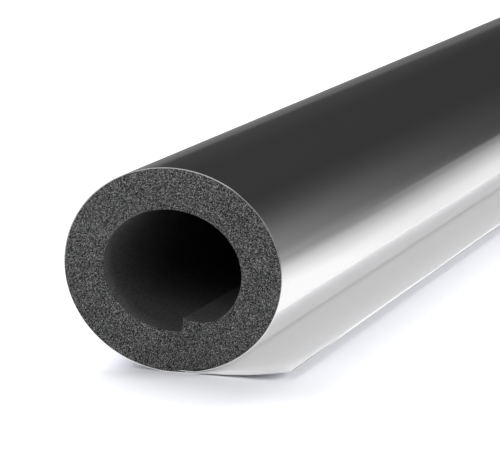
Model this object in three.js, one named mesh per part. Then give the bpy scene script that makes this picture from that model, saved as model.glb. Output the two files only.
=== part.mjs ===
// Pre-slit pipe lagging: a soft foam tube in a foil jacket, with a self-seal flap along its slit.
// Millimetres, +Z up. The tube lies on the floor along Y with its slit underneath, and its flap
// reaches out towards +X. The origin is on the floor, below the bore's middle at mid-length.
import * as THREE from "three";

// The length that jacketed lagging is sold in
const LENGTH = 1000;

// The bore of 60 mm lagging that lies on its side: the soft tube sags wider than it is tall
const BORE_WIDTH = 66.4;
const BORE_HEIGHT = 55.4;
const BORE_LEAN = THREE.MathUtils.degToRad(3.7); // its right end hangs lower by this much

const FOAM_WALL = 18.6; // 19 mm nominal
const JACKET_THICKNESS = 0.4;
const FLOOR_FLATTENING = 0.1; // how far the tube's own weight flattens its underside

// The slit through the wall, by its distance to the right of the middle
const SLIT_AT_BORE = 4.9;
const SLIT_AT_SKIN = 3.4;
const SLIT_GAP = 0.3;

// The lip to the right of the slit bulges into the bore
const LIP_BULGE = 6.4;
const LIP_SETBACK = 1.3; // how far the bulging corner leans away from the slit
const LIP_REACH = 24; // along the bore, from the slit to where the bulge has died out
const LIP_FALL = 1.7; // the power of the bulge's fall: 1 would be a straight ramp

// The flap runs on from the lip to the left of the slit, flat and then curling up
const FLAP_WIDTH = 54;
const FLAP_FLAT_WIDTH = 14;
const FLAP_CURL_RADIUS = 190;

// The release liner over the glue on the flap's upper side
const LINER_THICKNESS = 0.15;
const LINER_SETBACK = 3; // from the slit
const LINER_MARGIN = 1; // the foil left bare along the flap's free edge

// The right lip's jacket rides this far above the liner
const LIP_CLEARANCE = 0.3;

// Facets round the tube, and along the flap's curl
const ROUND_STEPS = 120;
const CURL_STEPS = 10;

const COLOURS = { foam: 0x3f4043, foil: 0xc4c6c8, liner: 0xd4d4d2 };

const halfWidth = BORE_WIDTH / 2;
const halfHeight = BORE_HEIGHT / 2;
const middleHeight = halfHeight + FOAM_WALL + JACKET_THICKNESS - FLOOR_FLATTENING;
const flapTop = JACKET_THICKNESS + LINER_THICKNESS;

// A point this far outside the bore's oval, at an angle from its lowest point towards +X
function ovalPoint(angle, out) {
  const oval = new THREE.Vector2(halfWidth * Math.sin(angle), -halfHeight * Math.cos(angle));
  const outward = new THREE.Vector2(halfHeight * Math.sin(angle), -halfWidth * Math.cos(angle));
  return oval
    .addScaledVector(outward.normalize(), out)
    .rotateAround(new THREE.Vector2(), -BORE_LEAN)
    .add(new THREE.Vector2(0, middleHeight));
}

// The angle at which the oval's underside is x to the right of the middle
function angleWhere(x, out) {
  let low = -Math.PI / 3;
  let high = Math.PI / 3;
  while (high - low > 1e-9) {
    const middle = (low + high) / 2;
    if (ovalPoint(middle, out).x < x) low = middle;
    else high = middle;
  }
  return low;
}

// Angles from the slit's right lip, over the top and down to its left lip
function anglesRound(slitX, out) {
  const start = angleWhere(slitX + SLIT_GAP / 2, out);
  const end = angleWhere(slitX - SLIT_GAP / 2, out) + 2 * Math.PI;
  return Array.from(
    { length: ROUND_STEPS + 1 },
    (_, i) => start + ((end - start) * i) / ROUND_STEPS,
  );
}

// The oval's outside, stopped by the floor to the left of the slit and by the flap to its right
function restingOutline(out, floorHeight, flapHeight) {
  return anglesRound(SLIT_AT_SKIN, FOAM_WALL).map((angle) => {
    const point = ovalPoint(angle, out);
    const support = angle < Math.PI ? flapHeight : floorHeight;
    return new THREE.Vector2(point.x, Math.max(point.y, support));
  });
}

function foamSkin() {
  const lipHeight = flapTop + LIP_CLEARANCE + JACKET_THICKNESS;
  return restingOutline(FOAM_WALL, JACKET_THICKNESS, lipHeight);
}

function jacketSkin() {
  return restingOutline(FOAM_WALL + JACKET_THICKNESS, 0, flapTop + LIP_CLEARANCE);
}

// The bore, with the right lip's bulge
function boreSkin() {
  const angles = anglesRound(SLIT_AT_BORE, 0);
  return angles.map((angle) => {
    const along = halfWidth * (angle - angles[0]);
    const share = Math.max(0, 1 - along / LIP_REACH) ** LIP_FALL;
    const setback = new THREE.Vector2(LIP_SETBACK * share, 0);
    return ovalPoint(angle, -LIP_BULGE * share).add(setback);
  });
}

// Widths from the slit at which the flap's curl is faceted
const curlWidths = Array.from(
  { length: CURL_STEPS + 1 },
  (_, i) => FLAP_FLAT_WIDTH + ((FLAP_WIDTH - LINER_MARGIN - FLAP_FLAT_WIDTH) * i) / CURL_STEPS,
);

// A point of the flap's section, this far along it from the slit and this high above its underside
function flapPoint(width, height) {
  const flat = SLIT_AT_SKIN - SLIT_GAP / 2 + Math.min(width, FLAP_FLAT_WIDTH);
  const turn = Math.max(0, width - FLAP_FLAT_WIDTH) / FLAP_CURL_RADIUS;
  const radius = FLAP_CURL_RADIUS - height;
  return new THREE.Vector2(
    flat + radius * Math.sin(turn),
    turn > 0 ? FLAP_CURL_RADIUS - radius * Math.cos(turn) : height,
  );
}

function flapSide(widths, height) {
  return widths.map((width) => flapPoint(width, height));
}

function foamOutline() {
  return [...foamSkin(), ...boreSkin().reverse()];
}

function jacketOutline() {
  const widths = [...curlWidths, FLAP_WIDTH];
  const underside = flapSide(widths, 0);
  const upperside = flapSide(widths, JACKET_THICKNESS);
  return [...jacketSkin(), ...underside, ...upperside.reverse(), ...foamSkin().reverse()];
}

function linerOutline() {
  const widths = [LINER_SETBACK, ...curlWidths];
  return [...flapSide(widths, JACKET_THICKNESS), ...flapSide(widths, flapTop).reverse()];
}

// Leaves out the points on a level line, so that a level side is one face
function withoutLevelPoints(outline) {
  return outline.filter((point, i) => {
    const before = outline.at(i - 1);
    const after = outline[(i + 1) % outline.length];
    return point.y !== before.y || point.y !== after.y;
  });
}

// A section in X and Z, swept along Y over the whole length
function sweep(outline) {
  const shape = new THREE.Shape(withoutLevelPoints(outline));
  const geometry = new THREE.ExtrudeGeometry(shape, {
    depth: LENGTH,
    steps: 1,
    bevelEnabled: false,
  });
  return geometry.rotateX(Math.PI / 2).translate(0, LENGTH / 2, 0);
}

function piece(name, outline, colour, roughness, metalness) {
  const material = new THREE.MeshStandardMaterial({ color: colour, roughness, metalness });
  const mesh = new THREE.Mesh(sweep(outline), material);
  mesh.name = name;
  return mesh;
}

const lagging = new THREE.Group();
lagging.add(
  piece("foam_tube", foamOutline(), COLOURS.foam, 0.95, 0),
  piece("foil_jacket", jacketOutline(), COLOURS.foil, 0.25, 1),
  piece("release_liner", linerOutline(), COLOURS.liner, 0.4, 0),
);

export default lagging;
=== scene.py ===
"""Pre-slit foam pipe lagging in a foil jacket, with its self-seal flap, on a pale studio floor.

Everything is in metres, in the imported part's own frame: the tube lies along Y with its near end
at -Y, its slit underneath, and its flap on the floor towards +X.
"""

import logging
import math
from collections.abc import Callable, Iterator, Mapping, Sequence
from dataclasses import dataclass
from enum import Enum

import bmesh
import bpy
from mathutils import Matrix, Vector


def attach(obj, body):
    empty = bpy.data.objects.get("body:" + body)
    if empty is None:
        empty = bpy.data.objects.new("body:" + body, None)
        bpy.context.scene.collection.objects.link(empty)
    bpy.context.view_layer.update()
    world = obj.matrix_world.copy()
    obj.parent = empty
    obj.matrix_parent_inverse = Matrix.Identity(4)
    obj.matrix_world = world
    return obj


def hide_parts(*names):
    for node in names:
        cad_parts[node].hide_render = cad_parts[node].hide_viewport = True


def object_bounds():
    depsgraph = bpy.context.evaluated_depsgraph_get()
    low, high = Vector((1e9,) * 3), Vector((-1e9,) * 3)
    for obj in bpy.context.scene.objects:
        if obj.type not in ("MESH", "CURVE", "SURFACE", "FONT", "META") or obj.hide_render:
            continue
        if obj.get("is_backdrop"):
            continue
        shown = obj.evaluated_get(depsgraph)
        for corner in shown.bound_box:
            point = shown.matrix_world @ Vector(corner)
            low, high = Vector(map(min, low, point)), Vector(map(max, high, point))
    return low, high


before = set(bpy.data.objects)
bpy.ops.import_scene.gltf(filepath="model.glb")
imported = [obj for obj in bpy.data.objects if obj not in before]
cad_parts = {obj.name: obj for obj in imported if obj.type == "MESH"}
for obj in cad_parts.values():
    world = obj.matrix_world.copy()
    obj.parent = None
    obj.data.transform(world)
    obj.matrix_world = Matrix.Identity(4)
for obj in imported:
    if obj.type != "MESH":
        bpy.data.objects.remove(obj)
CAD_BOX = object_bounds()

MM = 0.001
BODY = "root"
LOG = logging.getLogger("lagging")

# Sockets of a colour Mix node, which share their names with its other kinds'
MIX_FACTOR, MIX_FIRST, MIX_SECOND, MIX_RESULT = 0, 6, 7, 2

# How near a point may be to a cut, or to an end face, to be taken for on it
CUT_REACH = 1e-7
END_REACH = 1e-6

Triple = tuple[float, float, float]
Curve = tuple[tuple[float, float], ...]
Values = Mapping[str | int, object] | None
PlaceTest = Callable[[Vector, Vector], bool]


class Layer(Enum):
    """The three layers of the lagging, each with its CAD node and its material slot."""

    FOAM = ("foam_tube", "foam")
    JACKET = ("foil_jacket", "foil")
    LINER = ("release_liner", "liner")

    def __init__(self, node: str, slot: str) -> None:
        """Gives the layer its node and slot by name."""
        self.node = node
        self.slot = slot


class Pick(Enum):
    """What a selection is made of."""

    POINTS = "VERT"
    EDGES = "EDGE"
    FACES = "FACE"


# Shader maths


@dataclass(frozen=True)
class Signal:
    """A node's output, which Python's arithmetic turns into Math nodes."""

    graph: "Graph"
    socket: bpy.types.NodeSocket

    def _maths(self, operation: str, *terms: "Signal | float") -> "Signal":
        """The result of one Math node on these terms."""
        sockets = dict(enumerate(terms))
        return self.graph.signal("ShaderNodeMath", "Value", {"operation": operation}, sockets)

    def __add__(self, other: "Signal | float") -> "Signal":
        """self + other."""
        return self._maths("ADD", self, other)

    __radd__ = __add__

    def __sub__(self, other: "Signal | float") -> "Signal":
        """self - other."""
        return self._maths("SUBTRACT", self, other)

    def __rsub__(self, other: "Signal | float") -> "Signal":
        """other - self."""
        return self._maths("SUBTRACT", other, self)

    def __mul__(self, other: "Signal | float") -> "Signal":
        """self * other."""
        return self._maths("MULTIPLY", self, other)

    __rmul__ = __mul__

    def __truediv__(self, other: "Signal | float") -> "Signal":
        """self / other."""
        return self._maths("DIVIDE", self, other)

    def __rtruediv__(self, other: "Signal | float") -> "Signal":
        """other / self."""
        return self._maths("DIVIDE", other, self)

    def __pow__(self, other: "Signal | float") -> "Signal":
        """self ** other."""
        return self._maths("POWER", self, other)

    def __rpow__(self, other: "Signal | float") -> "Signal":
        """other ** self."""
        return self._maths("POWER", other, self)

    def __abs__(self) -> "Signal":
        """The value without its sign."""
        return self._maths("ABSOLUTE", self)

    def at_most(self, other: "Signal | float") -> "Signal":
        """The smaller of the two."""
        return self._maths("MINIMUM", self, other)

    def rise(self, low: float, high: float) -> "Signal":
        """A smooth step up.

        Args:
            low: The value up to which it is 0.
            high: The value from which it is 1.

        Returns:
            The step.
        """
        settings = {"interpolation_type": "SMOOTHSTEP", "clamp": True}
        sockets = {"Value": self, "From Min": low, "From Max": high}
        return self.graph.signal("ShaderNodeMapRange", "Result", settings, sockets)


class Graph:
    """A material's or a world's node tree, which is filled anew."""

    def __init__(self, owner: bpy.types.Material | bpy.types.World) -> None:
        """Empties the owner's node tree.

        Args:
            owner: The material or world.
        """
        owner.use_nodes = True
        self.tree = owner.node_tree
        self.tree.nodes.clear()

    def node(self, kind: str, settings: Values = None, sockets: Values = None) -> bpy.types.Node:
        """Adds one node.

        Args:
            kind: The node's type.
            settings: Its properties, set first. A ramp's stops go under "stops".
            sockets: A value or a Signal for each input, by name or number.

        Returns:
            The node.
        """
        node = self.tree.nodes.new(kind)
        for name, value in (settings or {}).items():
            if name == "stops":
                self._set_stops(node.color_ramp, value)
            else:
                setattr(node, name, value)
        for key, value in (sockets or {}).items():
            if isinstance(value, Signal):
                self.tree.links.new(value.socket, node.inputs[key])
            else:
                node.inputs[key].default_value = value
        return node

    @staticmethod
    def _set_stops(ramp: bpy.types.ColorRamp, stops: Sequence[tuple[float, float]]) -> None:
        """Gives a ramp its stops.

        Args:
            ramp: The ramp.
            stops: Each stop's place from 0 to 1 and its grey.
        """
        while len(ramp.elements) > 1:
            ramp.elements.remove(ramp.elements[-1])
        for number, (place, grey) in enumerate(stops):
            stop = ramp.elements[0] if number == 0 else ramp.elements.new(place)
            stop.position = place
            stop.color = (grey, grey, grey, 1)

    def signal(
        self, kind: str, output: str, settings: Values = None, sockets: Values = None
    ) -> Signal:
        """Adds one node as `node` does, and gives one of its outputs by name."""
        return Signal(self, self.node(kind, settings, sockets).outputs[output])

    def place(self, stretch: Triple = (1, 1, 1)) -> Signal:
        """The point's place on the object, in metres.

        Args:
            stretch: Factors for X, Y and Z. A small one draws a pattern out along that axis.

        Returns:
            The place as a vector.
        """
        place = self.signal("ShaderNodeTexCoord", "Object")
        if stretch == (1, 1, 1):
            return place
        sockets = {"Vector": place, "Scale": stretch}
        return self.signal("ShaderNodeMapping", "Vector", None, sockets)

    def noise(self, place: Signal, grain: float, detail: float = 2, rough: float = 0.5) -> Signal:
        """Soft noise from 0 to 1, in lumps of a given size in metres with finer layers on them."""
        sockets = {"Vector": place, "Scale": 1 / grain, "Detail": detail, "Roughness": rough}
        return self.signal("ShaderNodeTexNoise", "Fac", None, sockets)

    def cells(self, place: Signal, size: float, output: str = "Distance") -> Signal:
        """Random cells of a given size in metres, as in cut foam."""
        sockets = {"Vector": place, "Scale": 1 / size}
        return self.signal("ShaderNodeTexVoronoi", output, None, sockets)

    def axes(self, vector: Signal) -> tuple[Signal, Signal, Signal]:
        """A vector's X, Y and Z."""
        node = self.node("ShaderNodeSeparateXYZ", None, {"Vector": vector})
        return tuple(Signal(self, output) for output in node.outputs)

    def curve(self, place: Signal, points: Curve) -> Signal:
        """Reads a curve, which stays level beyond its ends.

        Args:
            place: Where it is read.
            points: The curve's points, each a place and the grey there.

        Returns:
            The grey.
        """
        start, reach = points[0][0], points[-1][0] - points[0][0]
        stops = [((at - start) / reach, grey) for at, grey in points]
        share = (place - start) / reach
        return self.signal("ShaderNodeValToRGB", "Color", {"stops": stops}, {"Fac": share})

    def tone(self, grey: Signal) -> Signal:
        """A brightness as a grey colour."""
        sockets = {"Red": grey, "Green": grey, "Blue": grey}
        return self.signal("ShaderNodeCombineColor", "Color", None, sockets)

    def blend(self, share: Signal, first: Signal | Triple, second: Signal | Triple) -> Signal:
        """Mixes two colours.

        Args:
            share: How much of the second, from 0 to 1.
            first: The first colour.
            second: The second colour.

        Returns:
            The mixed colour.
        """
        first, second = (c if isinstance(c, Signal) else (*c, 1) for c in (first, second))
        sockets = {MIX_FACTOR: share, MIX_FIRST: first, MIX_SECOND: second}
        node = self.node("ShaderNodeMix", {"data_type": "RGBA"}, sockets)
        return Signal(self, node.outputs[MIX_RESULT])

    def bump(self, height: Signal, depth: float, strength: float = 1) -> Signal:
        """A normal bent by a height, of which 1 stands for a depth in metres."""
        sockets = {"Height": height, "Distance": depth, "Strength": strength}
        return self.signal("ShaderNodeBump", "Normal", None, sockets)


# Finishes


class Finish:
    """A layer's finish: one Principled shader, whose inputs are worked out by nodes."""

    title: str

    def sockets(self, graph: Graph) -> dict[str, object]:
        """The shader's inputs.

        Args:
            graph: The material's graph.

        Returns:
            Values and links by input.
        """
        raise NotImplementedError

    def material(self) -> bpy.types.Material:
        """Makes the finish.

        Returns:
            The material.
        """
        material = bpy.data.materials.new(self.title)
        graph = Graph(material)
        shader = graph.signal("ShaderNodeBsdfPrincipled", "BSDF", None, self.sockets(graph))
        graph.node("ShaderNodeOutputMaterial", None, {"Surface": shader})
        return material


@dataclass(frozen=True)
class FoamFinish(Finish):
    """Charcoal closed-cell foam: grainy where a knife cut it, skinned in the bore."""

    title = "charcoal_closed_cell_foam"
    half_length: float
    cell_dark: Triple = (0.003, 0.003, 0.003)
    cell_pale: Triple = (0.60, 0.60, 0.60)
    skin_dark: Triple = (0.045, 0.045, 0.045)
    skin_pale: Triple = (0.12, 0.12, 0.12)
    cell: float = 0.22 * MM
    crumb: float = 0.14 * MM
    cell_depth: float = 0.2 * MM
    pale_cells: float = 5
    cloud: float = 12 * MM
    skin_grain: float = 0.9 * MM
    skin_depth: float = 0.03 * MM
    cut_from: float = 1.2 * MM
    cut_to: float = 0.8 * MM

    def sockets(self, graph: Graph) -> dict[str, object]:
        """The shader's inputs.

        Args:
            graph: The material's graph.

        Returns:
            Values and links by input.
        """
        place = graph.place()
        _, along, _ = graph.axes(place)
        cut = abs(along).rise(self.half_length - self.cut_from, self.half_length - self.cut_to)

        chance, _, _ = graph.axes(graph.cells(place, self.cell, "Color"))
        walls = graph.cells(place, self.cell).rise(0.1, 0.6)
        crumbs = graph.noise(place, self.crumb, 2, 0.8).rise(0.3, 0.7)
        grain = chance**self.pale_cells * (walls * 0.5 + 0.5) * (crumbs * 0.7 + 0.65)
        drift = graph.noise(place, self.cloud, 2) * 0.5 + 0.75
        cut_colour = graph.blend((grain * drift).at_most(1), self.cell_dark, self.cell_pale)

        mottle = graph.noise(place, self.skin_grain, 4, 0.6)
        skin_colour = graph.blend(mottle.rise(0.3, 0.7), self.skin_dark, self.skin_pale)

        height = cut * (grain * 0.6 + crumbs * 0.4)
        height = height + (1 - cut) * mottle * (self.skin_depth / self.cell_depth)
        return {
            "Base Color": graph.blend(cut, skin_colour, cut_colour),
            "Roughness": cut * 0.25 + 0.6 + mottle * 0.1,
            "Normal": graph.bump(height, self.cell_depth, 0.8),
            "Specular IOR Level": 0.3,
        }


@dataclass(frozen=True)
class FoilFinish(Finish):
    """Bright aluminium foil laminate with fine lengthwise rolling lines."""

    title = "bright_foil_laminate"
    bright: Triple = (0.96, 0.96, 0.965)
    dull: Triple = (0.91, 0.91, 0.915)
    line_width: float = 0.9 * MM
    line_draw: float = 0.012
    line_depth: float = 0.004 * MM
    band_width: float = 7 * MM
    scuff: float = 26 * MM
    ripple: float = 55 * MM
    ripple_draw: float = 0.25
    ripple_depth: float = 0.05 * MM
    gloss: float = 0.07

    def sockets(self, graph: Graph) -> dict[str, object]:
        """The shader's inputs.

        Args:
            graph: The material's graph.

        Returns:
            Values and links by input.
        """
        place = graph.place()
        drawn = graph.place((1, self.line_draw, 1))
        lines = graph.noise(drawn, self.line_width, 3, 0.6)
        bands = graph.noise(drawn, self.band_width, 2, 0.5)
        ripple = graph.noise(graph.place((1, self.ripple_draw, 1)), self.ripple, 1, 0.4)
        scuffs = graph.noise(place, self.scuff, 5, 0.65).rise(0.56, 0.8)

        height = lines * (self.line_depth / self.ripple_depth) + ripple
        colour = graph.blend(lines * 0.35 + bands * 0.35 + scuffs * 0.3, self.bright, self.dull)
        return {
            "Base Color": colour,
            "Metallic": 1.0,
            "Roughness": self.gloss + lines * 0.03 + bands * 0.03 + scuffs * 0.05,
            "Normal": graph.bump(height, self.ripple_depth),
        }


@dataclass(frozen=True)
class LinerFinish(Finish):
    """Pale grey release paper with a smooth silicone face."""

    title = "silicone_release_paper"
    pale: Triple = (0.825, 0.825, 0.825)
    grey: Triple = (0.785, 0.785, 0.79)
    fibre: float = 0.5 * MM
    fibre_draw: Triple = (1, 0.35, 1)
    fibre_depth: float = 0.006 * MM
    cockle: float = 38 * MM
    cockle_draw: Triple = (1.6, 0.45, 1)
    cockle_depth: float = 0.06 * MM
    cloud: float = 22 * MM
    gloss: float = 0.3
    refraction: float = 1.65

    def sockets(self, graph: Graph) -> dict[str, object]:
        """The shader's inputs.

        Args:
            graph: The material's graph.

        Returns:
            Values and links by input.
        """
        place = graph.place()
        fibres = graph.noise(graph.place(self.fibre_draw), self.fibre, 4, 0.6)
        cockle = graph.noise(graph.place(self.cockle_draw), self.cockle, 1, 0.4)
        cloud = graph.noise(place, self.cloud, 3, 0.5)
        height = cockle + fibres * (self.fibre_depth / self.cockle_depth)
        return {
            "Base Color": graph.blend(fibres * 0.5 + cloud * 0.5, self.pale, self.grey),
            "Roughness": self.gloss + cloud * 0.08 + fibres * 0.05,
            "IOR": self.refraction,
            "Normal": graph.bump(height, self.cockle_depth, 0.6),
        }


# The section


@dataclass(frozen=True)
class Section:
    """The sagged oval, square to the tube, that every layer follows, and where its slit is."""

    length: float = 1000 * MM
    bore_width: float = 66.4 * MM
    bore_height: float = 55.4 * MM
    lean: float = math.radians(3.7)
    wall: float = 18.6 * MM
    jacket: float = 0.4 * MM
    liner: float = 0.15 * MM
    flattening: float = 0.1 * MM
    slit_at_bore: float = 4.9 * MM
    slit_at_skin: float = 3.4 * MM
    slit_gap: float = 0.3 * MM
    lip_clearance: float = 0.3 * MM

    @property
    def near_end(self) -> float:
        """Where the near end face stands along Y."""
        return -self.length / 2

    @property
    def middle(self) -> Vector:
        """The bore's middle, on the near end face."""
        height = self.bore_height / 2 + self.wall + self.jacket - self.flattening
        return Vector((0, self.near_end, height))

    @property
    def lip_floor(self) -> float:
        """How high the right lip's foam rests, on the flap, its liner and its own jacket."""
        return self.jacket + self.liner + self.lip_clearance + self.jacket

    def slit_point(self, height: float, aside: float = 0) -> Vector:
        """A point of the slit on the near end face.

        Args:
            height: The point's height above the floor.
            aside: How far it is to the right of the slit's middle.

        Returns:
            The point.
        """
        bore_floor = self.middle.z - self.bore_height / 2
        share = (height - self.jacket) / (bore_floor - self.jacket)
        across = self.slit_at_skin + (self.slit_at_bore - self.slit_at_skin) * share
        return Vector((across + aside, self.near_end, height))

    def right_of_slit(self, point: Vector) -> bool:
        """Whether a point lies to the right of the slit."""
        return point.x > self.slit_point(point.z).x


# The workbench


@dataclass
class Workpiece:
    """A mesh that is being shaped with Blender's own modelling operators."""

    name: str
    section: Section
    body: bpy.types.Object | None = None
    rounding_steps: int = 3
    rounding_angle: float = math.radians(60)  # flatter edges aren't rounded
    seed_ways: Triple = (1, 0.7, 1.3)  # how a pattern's seed shifts it

    def ring(self, points: int, outward: float) -> None:
        """Adds an oval ring round the bore, on the near end face, and leaves it selected.

        Args:
            points: How many points it has.
            outward: How far it lies outside the bore's own oval.
        """
        section = self.section
        width = section.bore_width / 2 + outward
        height = section.bore_height / 2 + outward
        first = self.body is None
        if first:
            bpy.ops.object.select_all(action="DESELECT")
        else:
            self.deselect()
        bpy.ops.mesh.primitive_circle_add(
            vertices=points,
            radius=width,
            fill_type="NOTHING",
            location=section.middle,
            rotation=(math.pi / 2, 0, 0),
        )
        if first:
            self.body = bpy.context.object
            self.body.name = self.name
            self.body.data.name = self.name
            bpy.ops.object.transform_apply(location=True, rotation=True, scale=True)
            bpy.ops.object.mode_set(mode="EDIT")
            bpy.ops.mesh.select_all(action="SELECT")
        bpy.ops.transform.resize(value=(1, 1, height / width), center_override=section.middle)
        bpy.ops.transform.rotate(
            value=-section.lean, orient_axis="Y", center_override=section.middle
        )

    def deselect(self) -> None:
        """Leaves nothing selected in edit mode."""
        bpy.ops.mesh.select_all(action="DESELECT")

    def pick(self, what: Pick, test: PlaceTest) -> None:
        """Selects by place, and nothing else.

        Args:
            what: Points, edges or faces.
            test: Says yes to an element by its middle and its normal, or an edge's direction.
        """
        bpy.ops.mesh.select_mode(type=what.value)
        self.deselect()
        mesh = bmesh.from_edit_mesh(self.body.data)
        for element, place, normal in self._elements(mesh, what):
            if test(place, normal):
                element.select_set(True)
        mesh.select_flush_mode()
        bmesh.update_edit_mesh(self.body.data)

    @staticmethod
    def _elements(mesh: bmesh.types.BMesh, what: Pick) -> Iterator[tuple[object, Vector, Vector]]:
        """Walks a mesh.

        Args:
            mesh: The mesh.
            what: Points, edges or faces.

        Yields:
            Each element with its middle and its normal, or an edge's direction.
        """
        if what is Pick.POINTS:
            for point in mesh.verts:
                yield point, point.co, point.normal
        elif what is Pick.EDGES:
            for edge in mesh.edges:
                start, end = (v.co for v in edge.verts)
                yield edge, (start + end) / 2, (end - start)
        else:
            for face in mesh.faces:
                yield face, face.calc_center_median(), face.normal

    def pick_nearest(self, target: Vector, side: PlaceTest) -> Vector:
        """Selects the one point nearest to a place.

        Args:
            target: The place.
            side: Says which points may be chosen.

        Returns:
            Where that point is.
        """
        bpy.ops.mesh.select_mode(type="VERT")
        self.deselect()
        mesh = bmesh.from_edit_mesh(self.body.data)
        choice = [v for v in mesh.verts if side(v.co, v.normal)]
        nearest = min(choice, key=lambda v: (v.co - target).length_squared)
        nearest.select_set(True)
        bmesh.update_edit_mesh(self.body.data)
        return nearest.co.copy()

    def all(self) -> None:
        """Selects everything."""
        bpy.ops.mesh.select_all(action="SELECT")

    def draw_along(self, cuts: int) -> None:
        """Draws the near end's outline out to the far end, and cuts the run into stretches.

        Args:
            cuts: How many rings of points the run gets between its ends.
        """
        length = self.section.length
        self.all()
        bpy.ops.mesh.extrude_region_move(TRANSFORM_OT_translate={"value": (0, length, 0)})
        if cuts:
            self.pick(Pick.EDGES, lambda place, way: abs(way.y) > length * 0.9)
            bpy.ops.mesh.subdivide(number_cuts=cuts)

    def thicken(self, thickness: float, outward: bool, rounding: float = 0) -> None:
        """Gives an open sheet its wall.

        Args:
            thickness: The wall's thickness.
            outward: Whether the wall grows on the side that the faces look to.
            rounding: How far its cut edges are rounded.
        """
        bpy.ops.object.mode_set(mode="OBJECT")
        wall = self.body.modifiers.new("wall", "SOLIDIFY")
        wall.thickness = thickness
        wall.offset = 1 if outward else -1
        wall.use_even_offset = True
        bpy.ops.object.modifier_apply(modifier=wall.name)
        if rounding:
            edges = self.body.modifiers.new("edges", "BEVEL")
            edges.width = rounding
            edges.segments = self.rounding_steps
            edges.limit_method = "ANGLE"
            edges.angle_limit = self.rounding_angle
            edges.use_clamp_overlap = False
            bpy.ops.object.modifier_apply(modifier=edges.name)

    def ripple(self, group: str, lump: float, depth: float, axis: str, seed: float) -> None:
        """Moves a group's points by soft procedural clouds.

        Args:
            group: The vertex group that is moved.
            lump: The size of the clouds.
            depth: How far the clouds move a point, at most.
            axis: X, Y, Z or NORMAL.
            seed: How far the clouds are shifted, to give another pattern.
        """
        clouds = bpy.data.textures.new(f"{self.name}_{group}_{axis}", "CLOUDS")
        clouds.noise_scale = lump
        clouds.noise_depth = 1
        offset = bpy.data.objects.new(f"{self.name}_{group}_{axis}", None)
        bpy.context.scene.collection.objects.link(offset)
        offset.location = [seed * way for way in self.seed_ways]
        bpy.context.view_layer.update()
        pattern = {"texture": clouds, "texture_coords": "OBJECT", "texture_coords_object": offset}
        self.shift(group, axis, depth * 2, mid_level=0.5, **pattern)
        bpy.data.objects.remove(offset)

    def shift(self, group: str, axis: str, reach: float, **settings: object) -> None:
        """Moves a group's points.

        Args:
            group: The vertex group.
            axis: X, Y, Z or NORMAL.
            reach: How far a point of full weight goes.
            settings: What else the modifier is given, such as a texture.
        """
        push = self.body.modifiers.new("shift", "DISPLACE")
        settings = {"vertex_group": group, "direction": axis, "mid_level": 0, **settings}
        for name, value in settings.items():
            setattr(push, name, value)
        push.strength = reach
        bpy.ops.object.modifier_apply(modifier=push.name)

    def cut_across(self, distances: Sequence[float]) -> None:
        """Cuts rings of points round the run, close to its near end.

        Args:
            distances: Each ring's distance from the near end.
        """
        for distance in distances:
            self.all()
            place = (0, self.section.near_end + distance, 0)
            bpy.ops.mesh.bisect(plane_co=place, plane_no=(0, 1, 0), threshold=CUT_REACH)

    def weigh(self, group: str, weight: Callable[[Vector], float]) -> None:
        """Makes a vertex group.

        Args:
            group: Its name.
            weight: A point's weight from its place.
        """
        bpy.ops.object.mode_set(mode="OBJECT")
        points = self.body.vertex_groups.new(name=group)
        for vertex in self.body.data.vertices:
            share = weight(vertex.co)
            if share > 0:
                points.add([vertex.index], min(share, 1), "REPLACE")

    def finish(self, layer: Layer, material: bpy.types.Material, angle: float) -> bpy.types.Object:
        """Shades the piece, dresses it and hands it to the frame.

        Args:
            layer: The layer that it is.
            material: Its material.
            angle: Edges sharper than this stay sharp, in degrees.

        Returns:
            The finished piece.
        """
        if self.body.mode == "EDIT":
            bpy.ops.object.mode_set(mode="OBJECT")
        self.body.vertex_groups.clear()
        bpy.ops.object.select_all(action="DESELECT")
        self.body.select_set(True)
        bpy.context.view_layer.objects.active = self.body
        bpy.ops.object.shade_smooth_by_angle(angle=math.radians(angle))
        self.body.data.materials.append(material)
        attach(self.body, BODY)
        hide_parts(layer.node)
        return self.body


# The pieces


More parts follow.
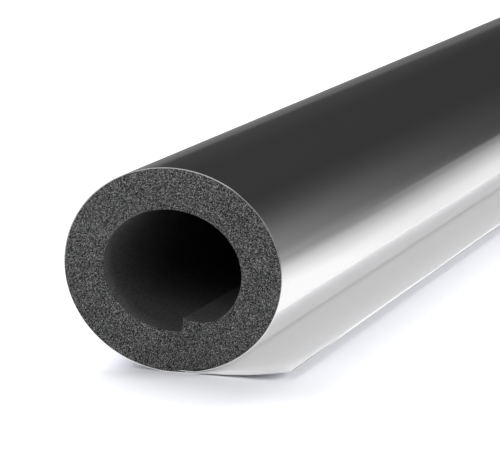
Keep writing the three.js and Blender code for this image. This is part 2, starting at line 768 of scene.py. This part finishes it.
@dataclass
class FoamTube:
    """The slit foam tube, with its right lip bulging into the bore."""

    section: Section
    finish: FoamFinish
    points_round: int = 560
    rings_across: int = 41
    stretches: int = 24
    skin_clearance: float = 0.04 * MM
    slit_gap: float = 0.05 * MM
    slit_room: float = 6 * MM
    lip_bulge: float = 6.4 * MM
    lip_setback: float = 0.6 * MM
    lip_reach: float = 27 * MM
    underside: float = 6 * MM
    weld: float = 0.02 * MM
    crumb: float = 0.10 * MM
    crumb_evenness: float = 0.6
    crumb_seed: int = 11
    pit_depth: float = 0.30 * MM
    pit_size: float = 0.9 * MM

    def _annulus(self, work: Workpiece) -> None:
        """Makes the near end face as one ring of small faces.

        Args:
            work: The piece.
        """
        work.ring(self.points_round, 0)
        work.ring(self.points_round, self.section.wall - self.skin_clearance)
        work.all()
        bpy.ops.mesh.bridge_edge_loops(number_cuts=self.rings_across, interpolation="LINEAR")

    def _slit(self, work: Workpiece) -> None:
        """Cuts the slit through the wall.

        Args:
            work: The piece.
        """
        section = self.section
        half_gap = self.slit_gap / 2
        for side in (-1, 1):
            work.pick(
                Pick.FACES,
                lambda place, _: place.z < section.middle.z
                and abs(place.x - section.slit_point(place.z).x) < self.slit_room,
            )
            start = section.slit_point(0, side * half_gap)
            way = section.slit_point(section.middle.z, side * half_gap) - start
            bpy.ops.mesh.bisect(plane_co=start, plane_no=(way.z, 0, -way.x), threshold=CUT_REACH)
        work.pick(
            Pick.FACES,
            lambda place, _: place.z < section.middle.z
            and abs(place.x - section.slit_point(place.z).x) < half_gap,
        )
        bpy.ops.mesh.delete(type="FACE")

    def _bulge_lip(self, work: Workpiece) -> None:
        """Pushes the right lip's inner corner up into the bore, with the foam round it.

        Args:
            work: The piece.
        """
        section = self.section
        corner = section.slit_point(section.middle.z - section.bore_height / 2, self.slit_gap)
        work.pick_nearest(corner, lambda place, _: section.right_of_slit(place))
        bpy.ops.transform.translate(
            value=(self.lip_setback, 0, self.lip_bulge),
            use_proportional_edit=True,
            use_proportional_connected=True,
            proportional_edit_falloff="SHARP",
            proportional_size=self.lip_reach,
        )

    def _rest(self, work: Workpiece) -> None:
        """Trims the underside flat: the left lip on the jacket, the right one above the flap.

        Args:
            work: The piece.
        """
        section = self.section
        for right, floor in ((False, section.jacket), (True, section.lip_floor)):
            work.pick(
                Pick.FACES,
                lambda place, _: place.z < self.underside and section.right_of_slit(place) == right,
            )
            bpy.ops.mesh.bisect(
                plane_co=(0, 0, floor), plane_no=(0, 0, 1), clear_inner=True, threshold=CUT_REACH
            )
        work.all()
        bpy.ops.mesh.remove_doubles(threshold=self.weld)

    def _roughen_cuts(self, work: Workpiece) -> None:
        """Tears the knife-cut end faces into fine crumbs and pits, inward only.

        Args:
            work: The piece.
        """
        half = self.section.length / 2
        work.pick(
            Pick.POINTS,
            lambda place, _: abs(place.y) > half - END_REACH
            and abs(place.x - self.section.slit_point(place.z).x) > 2 * self.crumb,
        )
        bpy.ops.transform.vertex_random(
            offset=self.crumb, uniform=self.crumb_evenness, normal=0, seed=self.crumb_seed
        )
        for end in (-half, half):
            work.pick(Pick.POINTS, lambda place, _: place.y * end > half * half)
            bpy.ops.transform.resize(value=(1, 0, 1), center_override=(0, end, 0))
        work.weigh("near_cut", lambda place: float(place.y < -half + self.crumb * 2))
        work.weigh("far_cut", lambda place: float(place.y > half - self.crumb * 2))
        self._pit(work, "near_cut", 1)
        self._pit(work, "far_cut", -1)

    def _pit(self, work: Workpiece, group: str, way: float) -> None:
        """Sinks pits into one end face.

        Args:
            work: The piece.
            group: The vertex group of that face.
            way: The sign of the way into the foam along Y.
        """
        pits = bpy.data.textures.new(group, "CLOUDS")
        pits.noise_scale = self.pit_size
        pits.noise_depth = 2
        work.shift(group, "Y", way * self.pit_depth, texture=pits, texture_coords="LOCAL")

    def build(self) -> bpy.types.Object:
        """Builds the tube.

        Returns:
            The finished piece.
        """
        work = Workpiece("foam", self.section)
        self._annulus(work)
        self._slit(work)
        self._bulge_lip(work)
        self._rest(work)
        work.draw_along(self.stretches)
        work.all()
        bpy.ops.mesh.normals_make_consistent(inside=False)
        self._roughen_cuts(work)
        return work.finish(Layer.FOAM, self.finish.material(), angle=50)


@dataclass
class Flap:
    """The self-seal flap's run in the section: flat on the floor, then curling up."""

    section: Section
    width: float = 54 * MM
    flat: float = 14 * MM
    curl_radius: float = 195 * MM
    flat_steps: int = 14
    curl_steps: int = 60
    lift_from: float = 3 * MM
    lift_height: float = 1.1 * MM
    end_drop: float = 0.4 * MM
    end_reach: float = 4 * MM
    side_drop: float = 0.65 * MM
    side_reach: float = 2.0 * MM
    corner_reach: float = 6 * MM
    corner_run: float = 160 * MM
    stiffness: float = 1.5
    slack: float = 1e-5
    slack_above: float = 0.6 * MM

    @property
    def root(self) -> float:
        """Where the flap starts, at the slit's left lip."""
        return self.section.slit_at_skin - self.section.slit_gap / 2

    def extend(self) -> None:
        """Carries the selected lip of the sheet along the floor and up the curl."""
        step = self.flat / self.flat_steps
        for _ in range(self.flat_steps):
            bpy.ops.mesh.extrude_vertices_move(TRANSFORM_OT_translate={"value": (step, 0, 0)})
        bpy.ops.mesh.spin(
            steps=self.curl_steps,
            angle=(self.width - self.flat) / self.curl_radius,
            center=(self.root + self.flat, self.section.near_end, self.curl_radius),
            axis=(0, 1, 0),
        )

    def width_at(self, place: Vector) -> float:
        """How far along the flap a point is.

        Args:
            place: The point's place.

        Returns:
            Its distance from the slit along the flap, or -1 off the flap.
        """
        across = place.x - self.root - self.flat
        turn = math.asin(max(0.0, min(1.0, across / self.curl_radius)))
        height = self.section.jacket + self.curl_radius * (1 - math.cos(turn))
        if across < -self.flat - self.slack or place.z > height + self.slack_above:
            return -1.0
        return self.flat + (across if across < 0 else self.curl_radius * turn)

    def lift(self, place: Vector) -> float:
        """How far a point stands off the floor, from the tube's lip outwards.

        Args:
            place: The point's place.

        Returns:
            Its share of the flap's lift.
        """
        share = (self.width_at(place) - self.lift_from) / (self.flat - self.lift_from)
        share = max(0.0, min(1.0, share))
        return share * share * (3 - 2 * share)

    def _roll(self, place: Vector, drop: float, reach: float, distance: float) -> float:
        """How far a point near an edge is rolled down, without going through the floor.

        Args:
            place: The point's place.
            drop: How far the edge itself goes down.
            reach: How far from the edge the roll starts.
            distance: The point's distance from the edge.

        Returns:
            The point's share of the drop.
        """
        beyond = max(0.0, self.width_at(place) - self.flat)
        room = self.lift(place) * self.lift_height + beyond**2 / (2 * self.curl_radius)
        return min(1.0, room / drop) * max(0.0, 1 - distance / reach) ** 2

    def end_roll(self, place: Vector) -> float:
        """A point's share of the roll at the near end."""
        distance = place.y - self.section.near_end
        return self._roll(place, self.end_drop, self.end_reach, distance)

    def side_roll(self, place: Vector) -> float:
        """The roll along the free edge, which widens towards the corner.

        Args:
            place: The point's place.

        Returns:
            Its share of that roll.
        """
        distance = self.width - self.width_at(place)
        near = max(0.0, 1 - (place.y - self.section.near_end) / self.corner_run)
        reach = self.side_reach + (self.corner_reach - self.side_reach) * near**2
        return self._roll(place, self.side_drop, reach, distance)

    def freedom(self, place: Vector) -> float:
        """How free a point of the flap is to lift, from 0 on the floor to 1 at its free edge."""
        share = (self.width_at(place) - self.flat) / (self.width - self.flat)
        return max(0.0, share) ** self.stiffness


@dataclass
class FoilJacket:
    """The foil round the foam, and its flap, as one sheet."""

    section: Section
    flap: Flap
    finish: FoilFinish
    points_round: int = 180
    stretches: int = 119
    corner_cuts: tuple[float, ...] = (0.9 * MM, 1.5 * MM, 0.9 * MM)
    end_cuts: tuple[float, ...] = (0.8 * MM, 1.6 * MM, 2.4 * MM, 3.2 * MM, 4.2 * MM)
    edge_rounding: float = 0.17 * MM
    wave: float = 0.05 * MM
    wave_length: float = 140 * MM
    wave_seed: float = 0.31
    wave_from: float = 12 * MM
    wave_reach: float = 30 * MM
    flap_wave: float = 0.3 * MM
    flap_wave_length: float = 110 * MM
    flap_wave_seed: float = 0.83
    underside: float = 10 * MM
    corner_room: float = 20 * MM

    def outline(self, name: str) -> Workpiece:
        """Lays the sheet's section round the foam and along the flap.

        Args:
            name: The piece that it is for.

        Returns:
            The piece, as a line on the near end face.
        """
        section = self.section
        work = Workpiece(name, section)
        work.ring(self.points_round, section.wall)
        slit = section.slit_point(section.jacket)
        work.pick_nearest(slit, lambda place, _: place.z < self.underside)
        bpy.ops.mesh.delete(type="VERT")
        self._settle(work, True, section.lip_floor)
        self._settle(work, False, section.jacket)
        self.flap.extend()
        return work

    def _settle(self, work: Workpiece, right: bool, floor: float) -> None:
        """Lays one lip flat on what it rests on, squares it to the slit and leaves it selected.

        Args:
            work: The sheet's section.
            right: Whether it is the lip to the right of the slit.
            floor: How high its inner side lies.
        """
        section = self.section
        work.pick(
            Pick.POINTS,
            lambda place, _: place.z < floor and (place.x > section.slit_at_skin) == right,
        )
        bpy.ops.transform.resize(value=(1, 1, 0), center_override=(0, 0, floor))
        lip = section.slit_point(section.jacket, (1 if right else -1) * section.slit_gap / 2)
        lip.z = floor
        edge = work.pick_nearest(lip, lambda place, _: (place.x > section.slit_at_skin) == right)
        bpy.ops.transform.translate(value=lip - edge)

    def unroll(self, work: Workpiece) -> None:
        """Draws the section out into the sheet, facing outward, with its slight waves.

        Args:
            work: The sheet's section.
        """
        work.draw_along(self.stretches)
        work.all()
        bpy.ops.mesh.normals_make_consistent(inside=False)
        mesh = bmesh.from_edit_mesh(work.body.data)
        lowest = min(mesh.faces, key=lambda face: face.calc_center_median().z)
        if lowest.normal.z > 0:
            bpy.ops.mesh.flip_normals()
        self._round_corner(work)
        work.cut_across(self.end_cuts)
        flap = self.flap
        shifts = (
            ("lifted", flap.lift, flap.lift_height),
            ("end", flap.end_roll, -flap.end_drop),
            ("side", flap.side_roll, -flap.side_drop),
        )
        for group, weight, _ in shifts:
            work.weigh(group, weight)
        work.weigh("free", flap.freedom)
        for group, _, rise in shifts:
            work.shift(group, "Z", rise)
        work.weigh("around", lambda place: (place.z - self.wave_from) / self.wave_reach)
        work.ripple("around", self.wave_length, self.wave, "NORMAL", self.wave_seed)
        work.ripple("free", self.flap_wave_length, self.flap_wave, "Z", self.flap_wave_seed)

    def _round_corner(self, work: Workpiece) -> None:
        """Rounds the free corner at the near end with slanting cuts.

        Args:
            work: The sheet.
        """
        flap = self.flap
        reach = flap.root + flap.flat + flap.curl_radius * math.sin(
            (flap.width - flap.flat) / flap.curl_radius
        )
        corner = Vector((reach, self.section.near_end, 0))
        for number, cut in enumerate(self.corner_cuts):
            slant = math.radians(90 * (number + 1) / (len(self.corner_cuts) + 1))
            way = Vector((math.cos(slant), -math.sin(slant), 0))
            work.pick(Pick.FACES, lambda place, _: (place - corner).length < self.corner_room)
            bpy.ops.mesh.bisect(
                plane_co=corner - way * cut, plane_no=way, clear_outer=True, threshold=CUT_REACH
            )

    def build(self) -> bpy.types.Object:
        """Builds the jacket.

        Returns:
            The finished piece.
        """
        work = self.outline("foil")
        self.unroll(work)
        work.thicken(self.section.jacket, outward=True, rounding=self.edge_rounding)
        return work.finish(Layer.JACKET, self.finish.material(), angle=40)


@dataclass
class ReleaseLiner:
    """The strip of release paper on the flap's glued upper side, which follows the jacket."""

    section: Section
    flap: Flap
    jacket: FoilJacket
    finish: LinerFinish
    setback: float = 3 * MM
    margin: float = 0.15 * MM

    def build(self) -> bpy.types.Object:
        """Builds the liner.

        Returns:
            The finished piece.
        """
        work = self.jacket.outline("liner")
        first = self.setback - self.flap.slack
        last = self.flap.width - self.margin + self.flap.slack
        work.pick(Pick.POINTS, lambda place, _: not first < self.flap.width_at(place) < last)
        bpy.ops.mesh.delete(type="VERT")
        self.jacket.unroll(work)
        work.thicken(self.section.liner, outward=False)
        return work.finish(Layer.LINER, self.finish.material(), angle=40)


# The studio


@dataclass
class Studio:
    """A pale floor, soft light and a long lens, with a darker room for the foil to mirror."""

    floor_reach: float = 9.0
    floor_white: Triple = (0.792, 0.797, 0.828)
    focal_length: float = 194.98
    sensor: float = 36.0
    camera_place: Triple = (0.430, -1.606, 0.292)
    camera_sight: tuple[float, float] = (0.01, 100)
    azimuth: float = math.radians(19.55)
    elevation: float = math.radians(10.72)
    sky: float = 0.3
    backdrop: float = 1.2
    # Each soft lamp's name, strength, width in degrees and way
    lamps: tuple[tuple[str, float, float, Triple], ...] = (
        ("lamp_left", 2.7, 40, (0.6, -0.42, -0.68)),
        ("lamp_back", 1.9, 40, (0.16, -0.73, -0.66)),
        ("lamp_right", 2.65, 30, (-0.87, -0.03, -0.47)),
        ("lamp_front", 0.9, 40, (0.0, 0.75, -0.66)),
    )
    # What the foil mirrors, as painted glow. A curve's points are a place in metres and the grey
    # there, and a rise or fade is the two places that it runs between
    floor_beside: Curve = (
        (0.06, 0.888), (0.081, 0.813), (0.102, 0.645), (0.141, 0.468), (0.234, 0.257), (0.5, 0.206)
    )
    floor_slant: float = 1.87
    second_floor_loss: float = 0.9
    second_room: float = 1.3
    floor_ahead: Curve = (
        (-0.54, 0.393), (-0.51, 0.337), (-0.48, 0.271), (-0.44, 0.178),
        (-0.40, 0.112), (-0.36, 0.0701), (-0.32, 0.0281), (-0.27, 0)
    )
    floor_front: tuple[float, float] = (-0.8, -0.54)
    floor_front_least: float = 0.1
    screen_aside: float = 0.4
    screen_near_end: float = -1.2
    screen_near_rise: float = -0.5
    screen_length: float = 4.0
    screen_height: float = 1.2
    screen_fade: float = 0.4
    screen_glow: Curve = (
        (0.55, 0.196), (0.60, 0.154), (0.65, 0.126), (0.70, 0.103), (0.77, 0.0776), (0.85, 0.058),
        (1.0, 0.0374), (1.1, 0.0262), (1.25, 0.0168), (1.6, 0.00748), (2.4, 0)
    )
    screen_foot: float = 0.6
    screen_foot_height: float = 0.1
    # The sine of the height above the horizon, and the grey there
    room: Curve = ((0.42, 0.037), (0.56, 0.37), (0.72, 0.80))
    # On the left, by the sine towards +X, a pale band above the horizon and a haze over it
    left: tuple[float, float] = (-0.26, -0.16)
    band: float = 0.092
    band_fade: tuple[float, float] = (0.139, 0.165)
    band_slant: float = 0.2
    haze: float = 0.015
    haze_fade: tuple[float, float] = (0.1, 0.34)

    def build_camera(self) -> None:
        """Sets the camera at the photograph's angle."""
        data = bpy.data.cameras.new("camera")
        data.sensor_width = self.sensor
        data.lens = self.focal_length
        data.clip_start, data.clip_end = self.camera_sight
        camera = bpy.data.objects.new("camera", data)
        camera.location = self.camera_place
        camera.rotation_euler = (math.pi / 2 - self.elevation, 0, self.azimuth)
        bpy.context.scene.collection.objects.link(camera)
        bpy.context.scene.camera = camera

    @staticmethod
    def _stage(name: str, finish: str) -> Graph:
        """Turns the active object into a stage piece with a new material, which lights nothing.

        Args:
            name: The piece's name.
            finish: The material's name.

        Returns:
            The material's graph.
        """
        piece = bpy.context.object
        piece.name = name
        material = bpy.data.materials.new(finish)
        material.cycles.emission_sampling = "NONE"
        piece.data.materials.append(material)
        piece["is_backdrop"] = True
        return Graph(material)

    @staticmethod
    def _white(graph: Graph, strength: Signal | float, kind: str = "Emission") -> Signal:
        """White light of this strength, by the shader of that kind."""
        sockets = {"Color": (1, 1, 1, 1), "Strength": strength}
        return graph.signal(f"ShaderNode{kind}", kind, None, sockets)

    @staticmethod
    def _mirrored_again(graph: Graph) -> Signal:
        """1 in a reflection of a reflection, and 0 in a first one."""
        return graph.signal("ShaderNodeLightPath", "Glossy Depth").rise(1, 2)

    @staticmethod
    def _for_mirrors(
        graph: Graph, plain: Signal, grey: Signal, kind: str = "Emission", output: str = "Material"
    ) -> None:
        """Glows at the foil's reflections, and shows a plain shader to everything else.

        Args:
            graph: The node tree.
            plain: The plain shader.
            grey: How bright the glow is.
            kind: The glow's shader.
            output: What the output is for.
        """
        glow = graph.signal(f"ShaderNode{kind}", kind, None, {"Color": graph.tone(grey)})
        glossy = graph.signal("ShaderNodeLightPath", "Is Glossy Ray")
        direct = 1 - graph.signal("ShaderNodeLightPath", "Diffuse Depth").at_most(1)
        sockets = {0: glossy * direct, 1: plain, 2: glow}
        mixed = graph.signal("ShaderNodeMixShader", "Shader", None, sockets)
        graph.node(f"ShaderNodeOutput{output}", None, {"Surface": mixed})

    def build_floor(self) -> None:
        """Lays the floor: plainly pale, but in the foil it shows a painted glow that darkens away
        from the tube.
        """
        bpy.ops.object.select_all(action="DESELECT")
        bpy.ops.mesh.primitive_plane_add(size=2 * self.floor_reach, location=(0, 0, 0))
        graph = self._stage("floor", "white_floor")
        sockets = {"Color": (*self.floor_white, 1)}
        plain = graph.signal("ShaderNodeBsdfDiffuse", "BSDF", None, sockets)
        across, along, _ = graph.axes(graph.place())
        # The painted glow that the foil mirrors, darker away from the tube
        beside = graph.curve(abs(across), self.floor_beside)
        ahead = graph.curve(along - across * self.floor_slant, self.floor_ahead)
        least = self.floor_front_least
        grey = (beside + ahead).at_most(1) * (along.rise(*self.floor_front) * (1 - least) + least)
        grey = grey * (1 - self._mirrored_again(graph) * self.second_floor_loss)
        self._for_mirrors(graph, plain, grey)

    def build_screen(self) -> None:
        """Stands a softly glowing screen to the right, which only the foil mirrors."""
        middle = self.screen_near_end + self.screen_length / 2
        bpy.ops.object.select_all(action="DESELECT")
        bpy.ops.mesh.primitive_plane_add(
            size=1,
            location=(self.screen_aside, middle, self.screen_height / 2),
            rotation=(0, math.pi / 2, 0),
        )
        bpy.ops.transform.resize(value=(1, self.screen_length, self.screen_height))
        bpy.ops.object.transform_apply(location=True, rotation=True, scale=True)
        screen = bpy.context.object
        screen.visible_camera = screen.visible_diffuse = screen.visible_shadow = False
        graph = self._stage("screen", "soft_screen")
        place = graph.place()
        _, along, up = graph.axes(place)
        far = graph.signal("ShaderNodeVectorMath", "Value", {"operation": "LENGTH"}, {0: place})
        foot = 1 + (1 - up.rise(0, self.screen_foot_height)) * self.screen_foot
        top = 1 - up.rise(self.screen_height - self.screen_fade, self.screen_height)
        near = along.rise(self.screen_near_end, self.screen_near_rise)
        dark = self.room[0][1]
        glow = graph.curve(far, self.screen_glow) * foot * top * near + dark
        glow = glow + self._mirrored_again(graph) * self.second_room
        self._for_mirrors(graph, self._white(graph, self.sky), glow)

    def build_world(self) -> None:
        """Lights everything evenly, and gives the foil a room that is dark above the horizon."""
        world = bpy.data.worlds.new("studio")
        bpy.context.scene.world = world
        graph = Graph(world)
        across, _, up = graph.axes(graph.signal("ShaderNodeTexCoord", "Generated"))
        left = 1 - across.rise(*self.left)
        band = (1 - (up - across * self.band_slant).rise(*self.band_fade)) * self.band
        haze = (1 - up.rise(*self.haze_fade)) * self.haze
        room = graph.curve(up, self.room) + left * (band + haze)
        room = room + self._mirrored_again(graph) * self.second_room
        seen = graph.signal("ShaderNodeLightPath", "Is Camera Ray")
        plain = self._white(graph, seen * (self.backdrop - self.sky) + self.sky, "Background")
        self._for_mirrors(graph, plain, room, "Background", "World")

    def build_lamps(self) -> None:
        """Hangs wide soft lamps, which the foil doesn't mirror."""
        for name, strength, width, way in self.lamps:
            data = bpy.data.lights.new(name, "SUN")
            data.energy = strength
            data.angle = math.radians(width)
            lamp = bpy.data.objects.new(name, data)
            lamp.rotation_euler = Vector(way).to_track_quat("-Z", "Y").to_euler()
            lamp.visible_glossy = False
            bpy.context.scene.collection.objects.link(lamp)

    def build(self) -> None:
        """Builds the studio."""
        self.build_camera()
        self.build_floor()
        self.build_screen()
        self.build_world()
        self.build_lamps()
        bpy.context.scene.view_settings.view_transform = "Standard"


def write_sizes(visual_box: object) -> None:
    """Gathers the CAD model's box and the visual model's into a table, which is not written
    anywhere.

    Args:
        visual_box: The visual model's box.
    """
    boxes = {
        name: [list(corner) for corner in box]
        for name, box in (("cad", CAD_BOX), ("visual", visual_box))
    }


def report(piece: bpy.types.Object) -> None:
    """Logs a finished piece with its triangles."""
    triangles = sum(len(face.vertices) - 2 for face in piece.data.polygons)
    LOG.info("%s: %d triangles", piece.name, triangles)


def main() -> None:
    """Builds the studio and the three layers of the lagging."""
    logging.basicConfig(level=logging.INFO, format="%(name)s: %(message)s")
    Studio().build()
    section = Section()
    half = section.length / 2
    flap = Flap(section)
    report(FoamTube(section, FoamFinish(half)).build())
    jacket = FoilJacket(section, flap, FoilFinish())
    report(jacket.build())
    report(ReleaseLiner(section, flap, jacket, LinerFinish()).build())
    write_sizes(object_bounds())


if __name__ == "__main__":
    main()
